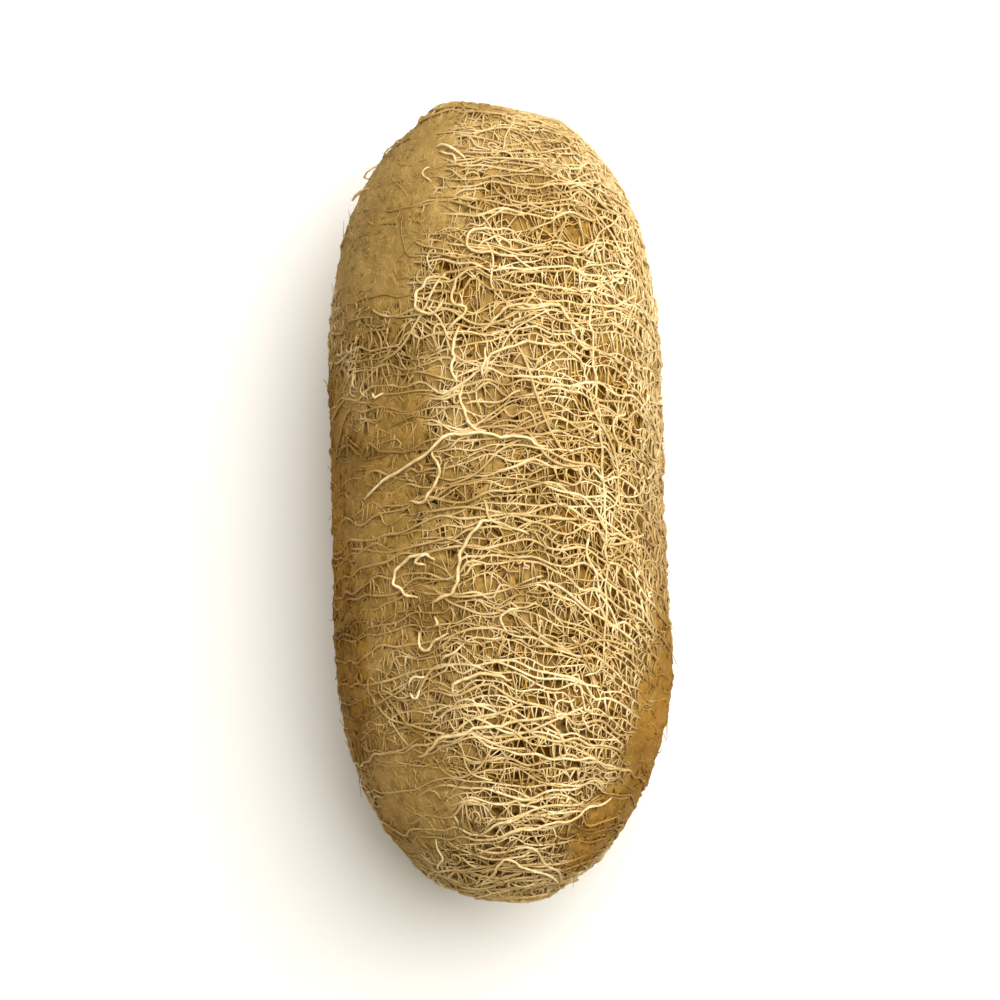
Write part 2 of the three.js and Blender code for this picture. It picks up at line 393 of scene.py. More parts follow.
def all_openings():
    """Openings as dicts of angle, arc, half width, half height and closed."""
    rng = np.random.default_rng(17)
    openings = [
        {
            "angle": float(angle_over(x, s)),
            "arc": float(arc_at(s)),
            "wide": wide,
            "high": high,
            "closed": closed,
        }
        for x, s, wide, high, closed in SEEN_OPENINGS
    ]
    margin = OTHER_OPENINGS["margin"]
    for _ in range(OTHER_OPENINGS["count"]):
        openings.append(
            {
                "angle": rng.uniform(0, TURN),
                "arc": rng.uniform(margin, ARC_TOTAL - margin),
                "wide": rng.uniform(*OTHER_OPENINGS["wide"]),
                "high": rng.uniform(*OTHER_OPENINGS["high"]),
                "closed": rng.uniform() < OTHER_OPENINGS["closed"],
            }
        )
    return openings


OPENINGS = all_openings()


def around_opening(opening, angle, arc):
    """Distance round the body and along it from the middle of an opening."""
    around = angle_between(angle, opening["angle"]) * radius_at(opening["arc"])
    return around, arc - opening["arc"]


def parted(angle, arc):
    """How far strands step aside along the body to pass the openings, less and less further off."""
    push = np.zeros_like(arc)
    for opening in OPENINGS:
        around, along = around_opening(opening, angle, arc)
        high = opening["high"]
        side = np.tanh(along / (0.2 * high)) * np.exp(-((along / (2.2 * high)) ** 2))
        push += high * side * np.exp(-((around / opening["wide"]) ** 2))
    return push


def membrane(angle, arc):
    """How far brown membranes close the openings, from 0 to 1. There are none under felt."""
    closed = np.zeros_like(arc)
    ragged = MEMBRANE_RAGGEDNESS * EDGE_SPECKS(skin(angle, arc, 0.0))
    for opening in OPENINGS:
        if opening["closed"]:
            around, along = around_opening(opening, angle, arc)
            distance = np.hypot(around / opening["wide"], along / opening["high"]) + ragged
            closed = np.maximum(closed, 1 - rise(distance, 0.5, 1.5))
    cover, _ = covering(angle, arc)
    return closed * (1 - rise(cover, 0, 0.4))


# The bed, as depths under the skin. Felt and peel replace the film as the cover grows to the
# felted one. There are pits in the film, and fewer in felt, but none where the cover is thick.
FILM_DEPTH = 1.4
FILM_WAVE_HEIGHT = 0.3
FELT_DEPTH = 0.55
FELTED_COVER = 0.8
MEMBRANE_DEPTH = 1.3
PIT_DEPTH = 1.9
BUMP_HEIGHT = 0.1
GRAIN_HEIGHT = 0.09


def bed_depth(angle, arc):
    """Depth of the matted bed: a film under the net with pits in it, felt, and membranes."""
    points = skin(angle, arc, 0.0)
    cover, _ = covering(angle, arc)
    open_net = np.clip(1 - cover / FELTED_COVER, 0, 1)
    film = FILM_DEPTH + FILM_WAVE_HEIGHT * FILM_WAVES(points) + hollow_depth(angle, arc)
    depth = FELT_DEPTH + (film - FELT_DEPTH) * open_net
    pits = rise(BED_PITS(points) + 0.6 * open_net, 0.8, 1.3)
    depth += PIT_DEPTH * pits * (1 - rise(cover, 0.6, 0.85))
    depth += (MEMBRANE_DEPTH - depth) * membrane(angle, arc) * (depth > MEMBRANE_DEPTH)
    return depth + BUMP_HEIGHT * BED_BUMPS(points) + GRAIN_HEIGHT * BED_GRAIN(points)


def sunk(cover):
    """How much deeper strands lie where felt covers them, so that it holds them half."""
    return 0.3 * np.clip(cover / 0.7, 0, 1) + 0.3 * rise(cover, 0.75, 0.95)


# Meshes


def tube_faces(paths, count, sides, closed):
    """Quads of paths tubes that each have count rings of sides vertices."""
    rings = count if closed else count - 1
    path, ring, side = np.meshgrid(
        np.arange(paths), np.arange(rings), np.arange(sides), indexing="ij"
    )
    following = (ring + 1) % count
    beside = (side + 1) % sides

    def at(r, k):
        return (path * count + r) * sides + k

    corners = [at(ring, side), at(following, side), at(following, beside), at(ring, beside)]
    return np.stack(corners, axis=-1).reshape(-1, 4)


def cap_faces(paths, count, sides):
    """Faces that close both ends of open tubes."""
    first = np.arange(paths)[:, None] * count * sides
    start = first + np.arange(sides)[None, :]
    finish = first + (count - 1) * sides + np.arange(sides)[None, ::-1]
    return np.concatenate([start, finish])


class Tubes:
    """Collects tubes with a few flat sides, and makes one mesh object of them."""

    def __init__(self, sides):
        self.sides = sides
        self.rng = np.random.default_rng(5)
        self.vertices, self.faces, self.wraps, self.values = [], [], [], []
        self.count = 0

    def add(self, angle, arc, depth, radius, closed=False, tone=None):
        """Adds paths given as rows of angle, arc, depth and radius. A closed path is a ring.

        Each path gets a random tone. Paths with a given tone lie on top of felt and peel, so they
        take no colour from them.
        """
        paths, count = angle.shape
        self.faces += (tube_faces(paths, count, self.sides, closed) + self.count).tolist()
        if not closed:
            self.faces += (cap_faces(paths, count, self.sides) + self.count).tolist()
        self.vertices.append(self.surface(angle, arc, depth, radius, closed))
        wrap = np.stack([np.mod(angle, TURN) / TURN, arc / ARC_TOTAL], axis=-1)
        self.wraps.append(self.for_each_side(wrap))
        self.values.append(self.for_each_side(self.colouring(angle, arc, tone)))
        self.count += paths * count * self.sides

    def surface(self, angle, arc, depth, radius, closed):
        """Vertices round the paths. None of them is under the floor."""
        centres, outwards = placed(angle, arc, depth)
        centres[..., 2] = np.maximum(centres[..., 2], 0.8 * radius)
        if closed:
            along = np.roll(centres, -1, axis=1) - np.roll(centres, 1, axis=1)
        else:
            along = np.gradient(centres, axis=1)
        along = unit(along)
        beside = unit(np.cross(along, outwards))
        upward = np.cross(beside, along)
        turns = math.pi / 2 + np.arange(self.sides) * TURN / self.sides
        spread = (
            np.cos(turns)[:, None] * beside[:, :, None, :]
            + np.sin(turns)[:, None] * upward[:, :, None, :]
        )
        points = centres[:, :, None, :] + radius[:, :, None, None] * spread
        points[..., 2] = np.maximum(points[..., 2], 0)
        return points.reshape(-1, 3)

    def colouring(self, angle, arc, tone):
        """Cover, brown and tone at the points of the paths."""
        if tone is None:
            cover, brown = covering(angle, arc)
            tones = self.rng.uniform(0, 1, (len(angle), 1)) * np.ones(arc.shape[1])
        else:
            cover = brown = np.zeros_like(arc)
            tones = np.full_like(arc, tone)
        return np.stack([cover, brown, tones], axis=-1)

    def for_each_side(self, rows):
        """Values given for the points of the paths, as rows for the vertices round them."""
        return np.repeat(rows.reshape(-1, rows.shape[-1]), self.sides, axis=0)

    def build(self, name, material):
        return mesh_piece(
            name,
            np.concatenate(self.vertices),
            self.faces,
            np.concatenate(self.wraps),
            np.concatenate(self.values),
            material,
        )


def closed_at_seam(corners, sizes):
    """Wrap corners of the faces, with those of a face over the seam moved to its far side."""
    starts = np.concatenate([[0], np.cumsum(sizes)[:-1]])
    around = corners[:, 0]
    widest = np.maximum.reduceat(around, starts) - np.minimum.reduceat(around, starts)
    past_seam = np.repeat(widest > 0.5, sizes) & (around < 0.5)
    corners[past_seam, 0] = 1
    return corners


def mesh_piece(name, points, faces, wrap, values, material):
    """A mesh object with its wrap round the sponge as a UV map, and its cover, brown and tone."""
    mesh = bpy.data.meshes.new(name)
    mesh.from_pydata((points * MM).tolist(), [], faces)
    mesh.shade_smooth()
    corners = closed_at_seam(wrap[np.concatenate(faces)], [len(face) for face in faces])
    layer = mesh.uv_layers.new(name="OFBake")
    layer.data.foreach_set("uv", corners.reshape(-1).astype(np.float32))
    for column, key in enumerate(("cover", "brown", "tone")):
        attribute = mesh.attributes.new(key, "FLOAT", "POINT")
        attribute.data.foreach_set("value", values[:, column].astype(np.float32))
    piece = bpy.data.objects.new(name, mesh)
    bpy.context.scene.collection.objects.link(piece)
    mesh.materials.append(material)
    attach(piece, "root")
    return piece


# Nets of strands and ties

# Rings run on towards the tapered end at the flanks, so that seen from above they are arches
ARCH = 10
ARCH_TO_RIGHT = 4

# The outermost rings and the ends of lengthwise fibres are this far from the tips
TIP_GAP = 6.0


def arched(angle, arc):
    """How far a ring runs on at an angle. It fades out towards both ends."""
    s = s_at(arc)
    fade = rise(s, 12, 62) * rise(LENGTH - s, 6, 46)
    return (ARCH + ARCH_TO_RIGHT * np.cos(angle)) * np.cos(angle) ** 2 * fade


def between(first, last, share):
    """Rows of values that go from the first to the last of each row."""
    return first[:, None] + (last - first)[:, None] * share


class Net:
    """Strands that run round the body in wavy rings, and ties from each ring to the next."""

    # Lengths of the waves of a ring, and their sizes as shares of the pitch
    WAVES = [(48, 0.5), (23, 0.46), (11, 0.32), (6, 0.14)]
    # How far neighbouring rings drift together, and how far from a tip the waves reach full size
    DRIFT = 2.2
    CALM = 25
    # Distances between the lumps on a strand, and their size as a share of its radius
    LUMPS = (7, 17)
    LUMP_SIZE = 0.22
    # Places of a tie's points from one ring to the next, and its thickness there
    TIE_SHARES = np.array([0, 0.5, 1])
    TIE_FLARE = np.array([1.35, 1, 1.35])
    # Of the ties over a membrane, which closes the net by more than this, only a share is kept
    BARRED_FROM = 0.6
    BARRED_SHARE = 0.3

    def __init__(self, seed, pitch, depth, weave, radii, step):
        """Rings a pitch apart, with points a step apart, that weave up and down by the weave."""
        self.rng = np.random.default_rng(seed)
        self.pitch, self.depth, self.weave = pitch, depth, weave
        self.radii, self.step = radii, step
        self.drift = Field(seed, wavelength=55)
        span = ARC_TOTAL - 2 * TIP_GAP
        count = int(round(span / pitch))
        self.arcs = TIP_GAP + span * np.arange(count + 1) / count
        self.rings = [self.ring_waves(arc) for arc in self.arcs]

    def ring_waves(self, arc):
        """Counts, sizes and turns of the waves of one ring, its thickness and how deep it lies."""
        girth = TURN * radius_at(arc)
        counts = np.array([max(1, round(girth / length)) for length, _ in self.WAVES])
        sizes = np.array([size for _, size in self.WAVES]) * self.pitch
        radius = self.rng.choice(self.radii)
        return {
            "counts": counts,
            "sizes": sizes * self.rng.uniform(0.4, 1.3, len(counts)),
            "turns": self.rng.uniform(0, TURN, (2, len(counts))),
            "radius": radius,
            "sink": self.rng.uniform(-0.4, 0.4) * self.weave + max(self.radii) - radius,
            "held": self.rng.uniform(0.0, 1.4),
        }

    def ring_at(self, index, angle):
        """Arc and depth of a ring at an angle."""
        ring, base = self.rings[index], self.arcs[index]
        fade = min(1, min(base, ARC_TOTAL - base) / self.CALM)
        phase = angle[..., None] * ring["counts"]
        own = (ring["sizes"] * np.sin(phase + ring["turns"][0])).sum(axis=-1)
        weave = np.sin(phase + ring["turns"][1])[..., :3].mean(axis=-1) * self.weave
        level = np.full_like(angle, base)
        shared = self.DRIFT * self.drift(skin(angle, level, 0.0))
        arc = base + arched(angle, level) + fade * shared + own * min(1, 2 * fade)
        arc = clear_of_tips(arc + parted(angle, arc), 1.0)
        cover, _ = covering(angle, arc)
        return arc, self.depth + ring["sink"] + weave + ring["held"] * sunk(cover)

    def add_rings(self, tubes):
        for index, base in enumerate(self.arcs):
            girth = TURN * radius_at(base)
            count = max(12, int(round(girth / self.step)))
            angle = np.arange(count) * TURN / count
            arc, depth = self.ring_at(index, angle)
            many, few = (round(girth / distance) for distance in self.LUMPS)
            lumps = np.sin(angle * many + index) * np.sin(angle * few)
            radius = self.rings[index]["radius"] * (1 + self.LUMP_SIZE * lumps)
            tubes.add(angle[None], arc[None], depth[None], radius[None], closed=True)

    def add_ties(self, tubes, pitch, radius, slant):
        """Adds ties about a pitch apart. The slant is how far they lean, in pitches of the net."""
        for index in range(len(self.arcs) - 1):
            girth = TURN * radius_at(self.arcs[index : index + 2].mean())
            count = max(5, int(round(girth / pitch)))
            angle, arc, depth = self.tie_paths(index, count, girth, slant)
            size = radius * self.rng.uniform(0.75, 1.3, count)[:, None] * self.TIE_FLARE
            barring = self.rng.uniform(size=count) < self.BARRED_SHARE
            kept = barring | (membrane(angle[:, 1], arc[:, 1]) < self.BARRED_FROM)
            tubes.add(angle[kept], arc[kept], depth[kept], size[kept])

    def tie_paths(self, index, count, girth, slant):
        """Angle, arc and depth of ties from a ring to the next. They bow to a side and dip."""
        cell = TURN / count
        start = (np.arange(count) + self.rng.uniform(-0.4, 0.4, count)) * cell
        lean = self.rng.normal(0, slant, count)
        finish = start + lean * self.pitch / girth * TURN
        arc_a, depth_a = self.ring_at(index, start)
        arc_b, depth_b = self.ring_at(index + 1, finish)
        arch = np.sin(math.pi * self.TIE_SHARES)
        bow = self.rng.normal(0, 0.12, count)[:, None] * arch
        dip = self.rng.uniform(0, 0.35, count)[:, None] * arch
        angle = between(start, finish, self.TIE_SHARES) + bow * TURN / girth * 2
        arc = between(arc_a, arc_b, self.TIE_SHARES) + bow
        depth = between(depth_a, depth_b, self.TIE_SHARES) + dip
        return angle, arc, depth


# Single fibres

# Loose strands start only where the cover is less than this, and felt fibres only where the felt
# is less brown than this
CLOSED_COVER = 0.6
PEEL_AND_SHADE_BROWN = 0.4


def wandering(rng, angle, arc, heading, length, points, curl):
    """Rows of angle and arc for fibres that start at a place and heading and wander from there."""
    share = np.linspace(0, 1, points)
    count = len(angle)
    turning = np.zeros((count, points))
    for waves in (0.5, 1.3, 2.7):
        size = curl * rng.normal(0, 1, (count, 1)) / (0.6 + waves)
        turning += size * np.sin(TURN * (waves * share + rng.uniform(0, 1, (count, 1))))
    course = heading[:, None] + turning
    step = (length / (points - 1))[:, None]
    arcs = clear_of_tips(arc[:, None] + np.cumsum(step * np.sin(course), axis=1), 2.0)
    round_body = step * np.cos(course) / np.maximum(radius_at(arcs), 2.0)
    return angle[:, None] + np.cumsum(round_body, axis=1), arcs


def tucked(points, reach):
    """How far each point of a fibre is tucked in at its ends, as a share."""
    ends = np.minimum(np.arange(points), np.arange(points)[::-1])
    return np.maximum(0, 1 - ends / reach) ** 2


def scattered(rng, count):
    """Places spread evenly over the skin."""
    arcs = np.linspace(3, ARC_TOTAL - 3, 400)
    weight = radius_at(arcs)
    arc = rng.choice(arcs, count, p=weight / weight.sum()) + rng.uniform(-0.3, 0.3, count)
    return rng.uniform(0, TURN, count), arc


def first_of(kept, count, *rows):
    """The rows at the first places that are kept, at most count of them."""
    chosen = np.nonzero(kept)[0][:count]
    return [values[chosen] for values in rows]


def arch_heading(angle, arc):
    """The direction of the rings at a place."""
    step = 0.02
    ahead = arched(angle + step, arc) - arched(angle - step, arc)
    return np.arctan2(ahead, 2 * step * radius_at(arc))


def add_loose_strands(tubes, rng, count, points, lengths, slope, depth, radius, curl):
    """Loose strands that leave the direction of the rings by a slope. None starts in felt."""
    angle, arc = scattered(rng, 2 * count)
    cover, _ = covering(angle, arc)
    angle, arc = first_of(cover < CLOSED_COVER, count, angle, arc)
    count = len(angle)
    heading = arch_heading(angle, arc) + rng.normal(0, slope, count)
    length = rng.uniform(*lengths, count)
    angles, arcs = wandering(rng, angle, arc, heading, length, points, curl)
    weave = 0.18 * np.sin(np.linspace(0, 9, points) + rng.uniform(0, TURN, (count, 1)))
    cover, _ = covering(angles, arcs)
    depths = depth + weave + 1.2 * tucked(points, 3) + sunk(cover)
    radii = radius * rng.uniform(0.75, 1.25, (count, 1)) * np.ones(points)
    tubes.add(angles, arcs, depths, radii)


def add_lengthwise(tubes, rng, count, depth, radius, points=54):
    """Fibres that run from one end to the other, under the net."""
    start = (np.arange(count) + rng.uniform(-0.3, 0.3, count)) * TURN / count
    share = np.linspace(0, 1, points)
    arcs = (TIP_GAP + (ARC_TOTAL - 2 * TIP_GAP) * share) * np.ones((count, 1))
    sway = sum(
        size * np.sin(TURN * (waves * share + rng.uniform(0, 1, (count, 1))))
        for waves, size in ((1.5, 0.06), (4, 0.03), (9, 0.012))
    )
    depths = depth + 0.4 * np.sin(TURN * (6 * share + rng.uniform(0, 1, (count, 1))))
    radii = radius * rng.uniform(0.8, 1.25, (count, 1)) * np.ones(points)
    tubes.add(start[:, None] + sway, arcs, depths, radii)


def add_felt_fibres(tubes, rng, count, points, lengths, sizes, covers, raised):
    """Fibres that lie on the felt where its cover is in a range, but not on smooth brown peel nor
    where the brown is painted shade.
    """
    angle, arc = scattered(rng, 8 * count)
    cover, brown = covering(angle, arc)
    felted = (cover > covers[0]) & (cover < covers[1]) & (brown < PEEL_AND_SHADE_BROWN)
    angle, arc = first_of(felted, count, angle, arc)
    count = len(angle)
    heading = rng.uniform(0, TURN, count)
    length = rng.uniform(*lengths, count)
    angles, arcs = wandering(rng, angle, arc, heading, length, points, curl=1.5)
    lift = rng.uniform(*raised, (count, 1)) - 0.3 * tucked(points, 2)
    radii = rng.uniform(*sizes, (count, 1)) * np.ones(points)
    tubes.add(angles, arcs, bed_depth(angles, arcs) - lift, radii)


def add_tip_fibres(tubes, rng, count, reach=15, points=12):
    """Fibres that cross both tips in all directions, where the rings of the nets stop short.

    They are laid out on a flat disc of the reach as radius, whose middle is the tip.
    """
    away = reach * np.sqrt(rng.uniform(0, 1, count))
    place = rng.uniform(0, TURN, count)
    turning = rng.normal(0, 0.9, (count, 1)) * np.linspace(-1, 1, points)
    course = rng.uniform(0, TURN, (count, 1)) + turning
    along = (np.arange(points) - points / 2) * rng.uniform(0.6, 1.5, (count, 1))
    u = (away * np.cos(place))[:, None] + along * np.cos(course)
    v = (away * np.sin(place))[:, None] + along * np.sin(course)
    angles = np.arctan2(v, u)
    from_tip = np.maximum(np.hypot(u, v), 0.6)
    far_end = (np.arange(count) % 2 == 1)[:, None]
    arcs = np.where(far_end, ARC_TOTAL - from_tip, from_tip)
    cover, _ = covering(angles, arcs)
    depths = rng.uniform(0.0, 1.0, (count, 1)) + 0.8 * tucked(points, 3) + sunk(cover)
    radii = rng.uniform(0.13, 0.24, (count, 1)) * np.ones(points)
    tubes.add(angles, arcs, depths, radii)


def add_hairs(tubes, rng, count, points=8):
    """Stray ends that leave the net and stand a little off it."""
    angle, arc = scattered(rng, count)
    heading = rng.uniform(0, TURN, count)
    length = rng.uniform(2.0, 6.0, count)
    angles, arcs = wandering(rng, angle, arc, heading, length, points, curl=1.0)
    lift = rng.uniform(0.3, 1.6, (count, 1)) * np.linspace(0, 1, points) ** 1.5
    radii = rng.uniform(0.08, 0.13, (count, 1)) * np.linspace(1.1, 0.5, points)
    tubes.add(angles, arcs, 0.5 - lift, radii)


def curve_through(corners, per_piece=5):
    """Points of a smooth curve through the corners."""
    before = 2 * corners[:1] - corners[1:2]
    after = 2 * corners[-1:] - corners[-2:-1]
    knots = np.concatenate([before, corners, after])
    share = np.linspace(0, 1, per_piece, endpoint=False)[:, None]
    pieces = []
    for a, b, c, d in zip(knots, knots[1:], knots[2:], knots[3:]):
        cubic = 3 * (b - c) + d - a
        square = 2 * a - 5 * b + 4 * c - d
        pieces.append(b + share * (c - a + share * (square + share * cubic)) / 2)
    return np.concatenate([*pieces, corners[-1:]])


def wiggled(rng, path):
    """A path with small irregular waves."""
    along = np.concatenate([[0], np.cumsum(np.hypot(*np.diff(path, axis=0).T))])
    waves = np.zeros_like(path)
    for length, size in ((7.0, 0.3), (3.3, 0.13)):
        waves += size * np.sin(TURN * (along[:, None] / length + rng.uniform(0, 1, 2)))
    return path + waves


def add_laid_fibres(tubes):
    """The fibres that lie over the net, with their ends tucked into it."""
    rng = np.random.default_rng(23)
    for radius, height, corners in LAID_FIBRES:
        path = wiggled(rng, curve_through(np.array(corners, dtype=float)))
        count = len(path)
        angle = angle_over(path[:, 0], path[:, 1])
        share = np.linspace(0, 1, count)
        lift = height * (1 + 0.3 * np.sin(5 * TURN * share)) * np.sin(math.pi * share) ** 0.7
        depth = 0.3 + 0.4 * tucked(count, 3) - lift
        thin = radius * (1 - 0.4 * tucked(count, 5)) * (1 + 0.15 * np.sin(7 * TURN * share))
        tone = rng.uniform(0.4, 0.8)
        tubes.add(angle[None], arc_at(path[:, 1])[None], depth[None], thin[None], tone=tone)


# Materials

# Colours of dry fibre from dark to light, and where a shade from 0 to 1.5 reaches them
STRAW = [(0.54, 0.37, 0.14), (0.78, 0.59, 0.29), (0.92, 0.76, 0.46)]
# The inner colours are a darker copy of the straw, as painted shade for fibres that lie deeper.
INNER = [(0.46, 0.26, 0.045), (0.63, 0.41, 0.12), (0.76, 0.55, 0.22)]
# The dark end of these bed colours is reached in the pits, as painted shade.
MATTED = [(0.22, 0.092, 0.002), (0.48, 0.295, 0.075), (0.6, 0.41, 0.15)]
TONE_STOPS = (0.45, 0.75, 1.0)

# Pale felt and brown peel by shade, the specks on all fibre, and the pits in felt. The peel colour
# also paints shade on the left flank and its edge, and the pits are painted shade, as dark dots.
# The felt's own pale colour, set darker as painted shade of the left flank, where most felt lies.
HAZE = [(0.45, (0.25, 0.147, 0.034)), (1.0, (0.44, 0.285, 0.09))]
PEEL_AND_SHADE = [(0.45, (0.175, 0.082, 0.007)), (1.0, (0.36, 0.182, 0.024))]
SPECKS = [(0.35, (0.74, 0.68, 0.58)), (0.62, 1.0)]
PIT_SHADE = [(0.36, (0.42, 0.34, 0.24)), (0.41, 1.0)]

# How far the painted shade of pits shows by cover, the grey of matted lines by noise, and how dark
# it is between them
PIT_SHADE_BY_COVER = [(0.72, 1.0), (0.98, 0.15)]
LINE_GREYS = [(0.455, 0.0), (0.495, 1.0), (0.535, 0.0)]
LINE_LIGHT = [(0.0, 0.78), (1.0, 1.0)]

# How fine each noise is
BROAD_NOISE = 70
FINE_NOISE = 900
PIT_NOISE = 430
LINE_NOISES = (300, 480)


class Paint:
    """A material, with short ways to add nodes to it that give the output of the new node."""

    def __init__(self, name):
        self.material = bpy.data.materials.new(name)
        self.material.use_nodes = True
        self.nodes = self.material.node_tree.nodes
        self.links = self.material.node_tree.links
        self.shader = self.nodes["Principled BSDF"]

    def noise(self, scale, detail, distortion=0.0):
        place = self.nodes.new("ShaderNodeTexCoord")
        noise = self.nodes.new("ShaderNodeTexNoise")
        noise.inputs["Scale"].default_value = scale
        noise.inputs["Detail"].default_value = detail
        noise.inputs["Distortion"].default_value = distortion
        self.links.new(place.outputs["Object"], noise.inputs["Vector"])
        return noise.outputs["Fac"]

    def attribute(self, name):
        attribute = self.nodes.new("ShaderNodeAttribute")
        attribute.attribute_name = name
        return attribute.outputs["Fac"]

    def shade(self):
        """Half the tone of a fibre plus a broad noise."""
        shade = self.nodes.new("ShaderNodeMath")
        shade.operation = "MULTIPLY_ADD"
        shade.inputs[1].default_value = 0.5
        self.links.new(self.attribute("tone"), shade.inputs[0])
        self.links.new(self.noise(BROAD_NOISE, 3), shade.inputs[2])
        return shade.outputs["Value"]

    def ramp(self, source, stops):
        """Colours given as (position, colour) stops. A plain number stands for a grey."""
        ramp = self.nodes.new("ShaderNodeValToRGB")
        elements = ramp.color_ramp.elements
        while len(elements) < len(stops):
            elements.new(0.5)
        for element, (position, colour) in zip(elements, stops):
            element.position = position
            element.color = (*colour, 1) if isinstance(colour, tuple) else (colour,) * 3 + (1,)
        self.links.new(source, ramp.inputs["Fac"])
        return ramp.outputs["Color"]

    def mix(self, factor, first, second, blend="MIX"):
        mix = self.nodes.new("ShaderNodeMix")
        mix.data_type = "RGBA"
        mix.blend_type = blend
        if isinstance(factor, float):
            mix.inputs["Factor"].default_value = factor
        else:
            self.links.new(factor, mix.inputs["Factor"])
        self.links.new(first, mix.inputs["A"])
        self.links.new(second, mix.inputs["B"])
        return mix.outputs["Result"]

    def finish(self, colour, rough, height, specular):
        """Links a colour, a roughness and a height for bumps to the shader."""
        self.links.new(colour, self.shader.inputs["Base Color"])
        self.links.new(rough, self.shader.inputs["Roughness"])
        bumps = self.nodes.new("ShaderNodeBump")
        bumps.inputs["Strength"].default_value = 0.6
        bumps.inputs["Distance"].default_value = 0.12 * MM
        self.links.new(height, bumps.inputs["Height"])
        self.links.new(bumps.outputs["Normal"], self.shader.inputs["Normal"])
        self.shader.inputs["Specular IOR Level"].default_value = specular


def matted_lines(paint):
    """Fine lines that wander and cross, like the fibres of felt, as a grey from 0 to 1."""
    first, second = (
        paint.ramp(paint.noise(scale, 2, distortion=0.8), LINE_GREYS) for scale in LINE_NOISES
    )
    return paint.mix(1.0, first, second, "LIGHTEN")


def haze_colour(paint, shade, cover, felted):
    """Pale felt, with pits painted as dark dots of shade where it is thin if the material is felted.
    """
    haze = paint.ramp(shade, HAZE)
    if not felted:
        return haze
    # Dark dots painted where the felt is thin: painted shade of small holes.
    pits = paint.ramp(paint.noise(PIT_NOISE, 2), PIT_SHADE)
    return paint.mix(paint.ramp(cover, PIT_SHADE_BY_COVER), haze, pits, "MULTIPLY")


def fibre_material(name, tones, roughness, felted=False):
    """Dry plant fibre: tones from dark to light, which turn to haze and peel where it is covered, and
    to painted shade where the brown stands for shade on the left flank.
    """
    paint = Paint(name)
    shade = paint.shade()
    fine = paint.noise(FINE_NOISE, 4)
    cover = paint.attribute("cover")
    tone = paint.ramp(shade, list(zip(TONE_STOPS, tones)))
    colour = paint.mix(1.0, tone, paint.ramp(fine, SPECKS), "MULTIPLY")
    colour = paint.mix(cover, colour, haze_colour(paint, shade, cover, felted))
    # Brown gives peel and membranes, and painted shade on the left flank and its edge.
    colour = paint.mix(paint.attribute("brown"), colour, paint.ramp(shade, PEEL_AND_SHADE))
    height = fine
    if felted:
        height = matted_lines(paint)
        colour = paint.mix(1.0, colour, paint.ramp(height, LINE_LIGHT), "MULTIPLY")
    rough = paint.ramp(fine, [(0.3, roughness - 0.1), (0.7, roughness + 0.12)])
    paint.finish(colour, rough, height, specular=0.1 if felted else 0.2)
    return paint.material


# The bed of matted fibre, felt and peel

BED_ROWS = 310
BED_COLUMNS = 310


def sheet_faces(rows, columns):
    """Quads of a sheet of rows that go round the body, and a face that closes each end."""
    row, column = np.meshgrid(np.arange(rows - 1), np.arange(columns), indexing="ij")
    beside = (column + 1) % columns
    corners = [
        row * columns + column,
        row * columns + beside,
        (row + 1) * columns + beside,
        (row + 1) * columns + column,
    ]
    faces = np.stack(corners, axis=-1).reshape(-1, 4).tolist()
    faces.append(list(range(columns))[::-1])
    faces.append([(rows - 1) * columns + k for k in range(columns)])
    return faces


def bed_piece(rows, columns, material):
    """The bed as one sheet over the whole body, darker the deeper it lies as painted shade, brown on
    membranes.
    """
    angle = np.arange(columns)[None, :] * TURN / columns * np.ones((rows, 1))
    arc = np.linspace(0.05, ARC_TOTAL - 0.05, rows)[:, None] * np.ones((1, columns))
    depth = bed_depth(angle, arc)
    points, _ = placed(angle, arc, depth)
    points[..., 2] = np.maximum(points[..., 2], 0.3)
    wrap = np.stack([angle / TURN, arc / ARC_TOTAL], axis=-1).reshape(-1, 2)
    cover, brown = covering(angle, arc)
    brown = np.maximum(brown, 0.7 * membrane(angle, arc))
    # The tone is painted shade: the deeper the bed lies, in film, hollows and pits, the darker it is.
    height = np.clip(1 - (depth - FELT_DEPTH) / (FILM_DEPTH + PIT_DEPTH - FELT_DEPTH), 0, 1)
    values = np.stack([cover, brown, 0.7 * height], axis=-1).reshape(-1, 3)
    faces = sheet_faces(rows, columns)
    return mesh_piece("fibre_bed", points.reshape(-1, 3), faces, wrap, values, material)


# Stage

# The frame is a square of this many photo pixels a side, turned by a tilt in degrees. A pixel is
# this many millimetres.
FRAMED_SIDE = 400
TILT = 1.4
PIXEL = 0.4717


def build_camera():
    """Looks down at the sponge from straight above."""
    data = bpy.data.cameras.new("camera")
    data.lens = 120
    data.sensor_width = 36
    side = FRAMED_SIDE * PIXEL * MM
    height = side * data.lens / data.sensor_width
    camera = bpy.data.objects.new("camera", data)
    bpy.context.scene.collection.objects.link(camera)
    middle = (CAD_BOX[0] + CAD_BOX[1]) / 2
    camera.location = middle + Vector((0, 0, height))
    camera.rotation_euler = (0, 0, -math.radians(TILT))
    bpy.context.scene.camera = camera


def add_area_light(name, place, size, energy, colour):
    """An area light that shines on the middle of the sponge."""
    data = bpy.data.lights.new(name, "AREA")
    data.size = size
    data.energy = energy
    data.color = colour
    light = bpy.data.objects.new(name, data)
    bpy.context.scene.collection.objects.link(light)
    light.location = place
    towards = -Vector(place) + Vector((0, 0, 0.03))
    light.rotation_euler = towards.to_track_quat("-Z", "Y").to_euler()


